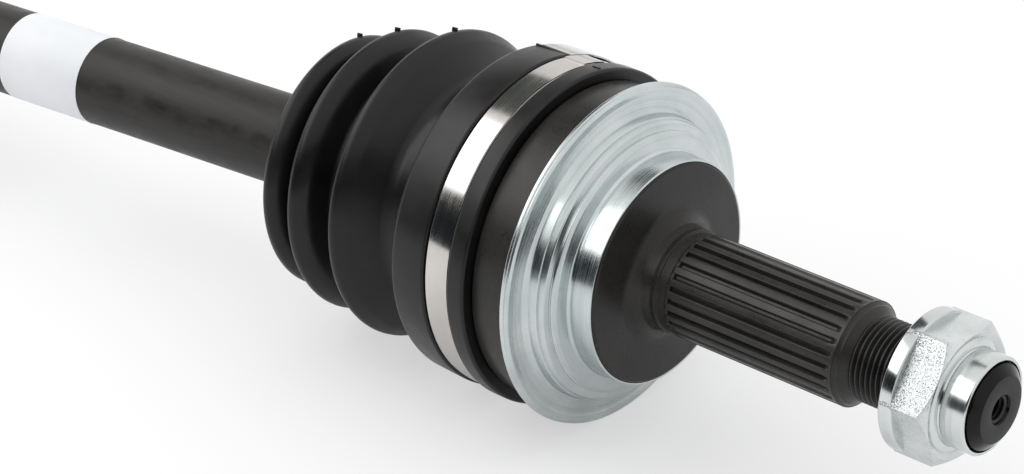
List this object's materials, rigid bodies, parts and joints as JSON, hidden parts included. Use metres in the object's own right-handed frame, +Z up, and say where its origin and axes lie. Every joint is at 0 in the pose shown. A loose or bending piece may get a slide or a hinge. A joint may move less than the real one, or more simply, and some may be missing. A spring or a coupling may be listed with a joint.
{
  "type": "drive shaft",
  "caption": "Front-wheel drive half shaft: ribbed boot over a ball joint, splined hub stub with nut, plunging inner joint.",
  "frame": {"origin": "centre of the outer joint's hub face", "axes": "+X along the outer stub towards the axle nut, +Z up as the shaft lies on its shield and inner housing"},
  "size_m": [0.6957, 0.1256, 0.091],
  "materials": {
    "black_steel": "satin black phosphated steel",
    "zinc": "bright zinc plate",
    "rubber": "moulded rubber with a satin bloom",
    "band": "polished stainless band",
    "ground_steel": "ground and hardened bearing steel",
    "bar_black": "satin dark brown-black paint",
    "label": "matt white paper"
  },
  "bodies": {
    "shaft": {"bar": "bar_black", "paper_label": "label", "inner_race": "ground_steel", "race_circlip": "ground_steel", "race_stop_ring": "ground_steel", "outer_clamp_small": "band", "spider": "ground_steel", "spider_circlip": "ground_steel", "spider_stop_ring": "ground_steel", "inner_clamp_small": "band"},
    "outer_joint": {"outer_race": "black_steel", "dust_shield": "zinc", "outer_boot": "rubber", "outer_clamp_large": "band"},
    "cage": {"ball_cage": "ground_steel", "joint_balls": "ground_steel"},
    "axle_nut": {"axle_nut": "zinc"},
    "inner_boot": {"inner_boot": "rubber"},
    "inner_joint": {"inner_housing": "black_steel", "inner_dust_ring": "zinc", "stub_circlip": "ground_steel", "inner_clamp_large": "band"},
    "carrier_1": {"inner_ring_1": "ground_steel", "needles_1": "ground_steel"},
    "roller_1": {"roller_1": "ground_steel", "roller_clips_1": "ground_steel"},
    "carrier_2": {"inner_ring_2": "ground_steel", "needles_2": "ground_steel"},
    "roller_2": {"roller_2": "ground_steel", "roller_clips_2": "ground_steel"},
    "carrier_3": {"inner_ring_3": "ground_steel", "needles_3": "ground_steel"},
    "roller_3": {"roller_3": "ground_steel", "roller_clips_3": "ground_steel"}
  },
  "joints": [
    {"name": "outer_bend", "type": "hinge", "parent": "shaft", "child": "outer_joint", "pos_m": [-0.033, 0, 0], "axis": [0, -0.1736, 0.9848], "range_deg": [-35, 45], "deforming": ["outer_boot"]},
    {"name": "cage_bend", "type": "hinge", "parent": "shaft", "child": "cage", "pos_m": [-0.033, 0, 0], "axis": [0, -0.1736, 0.9848], "range_deg": [-18, 23]},
    {"name": "axle_nut_travel", "type": "slide", "parent": "outer_joint", "child": "axle_nut", "axis": [1, 0, 0], "range_m": [-0.012, 0.024]},
    {"name": "inner_bend", "type": "hinge", "parent": "shaft", "child": "inner_boot", "pos_m": [-0.47133, -0.03777, -0.00666], "axis": [0, -0.1736, 0.9848], "range_deg": [-20, 20], "deforming": ["inner_boot"]},
    {"name": "plunge", "type": "slide", "parent": "inner_boot", "child": "inner_joint", "axis": [-0.9962, -0.0858, -0.0151], "range_m": [-0.02, 0.02]},
    {"name": "roller_tilt_1", "type": "hinge", "parent": "shaft", "child": "carrier_1", "pos_m": [-0.47133, -0.04167, 0.0155], "axis": [0, -0.1736, 0.9848], "range_deg": [-20.5, 20.5]},
    {"name": "roller_spin_1", "type": "hinge", "parent": "carrier_1", "child": "roller_1", "pos_m": [-0.47133, -0.04167, 0.0155], "axis": [0, -0.1736, 0.9848], "range_deg": [-75, 75]},
    {"name": "roller_tilt_2", "type": "hinge", "parent": "shaft", "child": "carrier_2", "pos_m": [-0.46963, -0.05493, -0.02111], "axis": [0, -0.1736, 0.9848], "range_deg": [-20.5, 20.5]},
    {"name": "roller_spin_2", "type": "hinge", "parent": "carrier_2", "child": "roller_2", "pos_m": [-0.46963, -0.05493, -0.02111], "axis": [0.0755, -0.7628, -0.6422], "range_deg": [-75, 75]},
    {"name": "roller_tilt_3", "type": "hinge", "parent": "shaft", "child": "carrier_3", "pos_m": [-0.47302, -0.0167, -0.01437], "axis": [0, -0.1736, 0.9848], "range_deg": [-20.5, 20.5]},
    {"name": "roller_spin_3", "type": "hinge", "parent": "carrier_3", "child": "roller_3", "pos_m": [-0.47302, -0.0167, -0.01437], "axis": [-0.0755, 0.9364, -0.3426], "range_deg": [-75, 75]}
  ],
  "couplings": [
    {"joint": "cage_bend", "follows": "outer_bend", "ratio": 0.5},
    {"joint": "roller_tilt_1", "follows": "inner_bend", "ratio": 1},
    {"joint": "roller_spin_1", "follows": "plunge", "rad_per_m": 60.606},
    {"joint": "roller_tilt_2", "follows": "inner_bend", "ratio": 1},
    {"joint": "roller_spin_2", "follows": "plunge", "rad_per_m": 60.606},
    {"joint": "roller_tilt_3", "follows": "inner_bend", "ratio": 1},
    {"joint": "roller_spin_3", "follows": "plunge", "rad_per_m": 60.606}
  ]
}
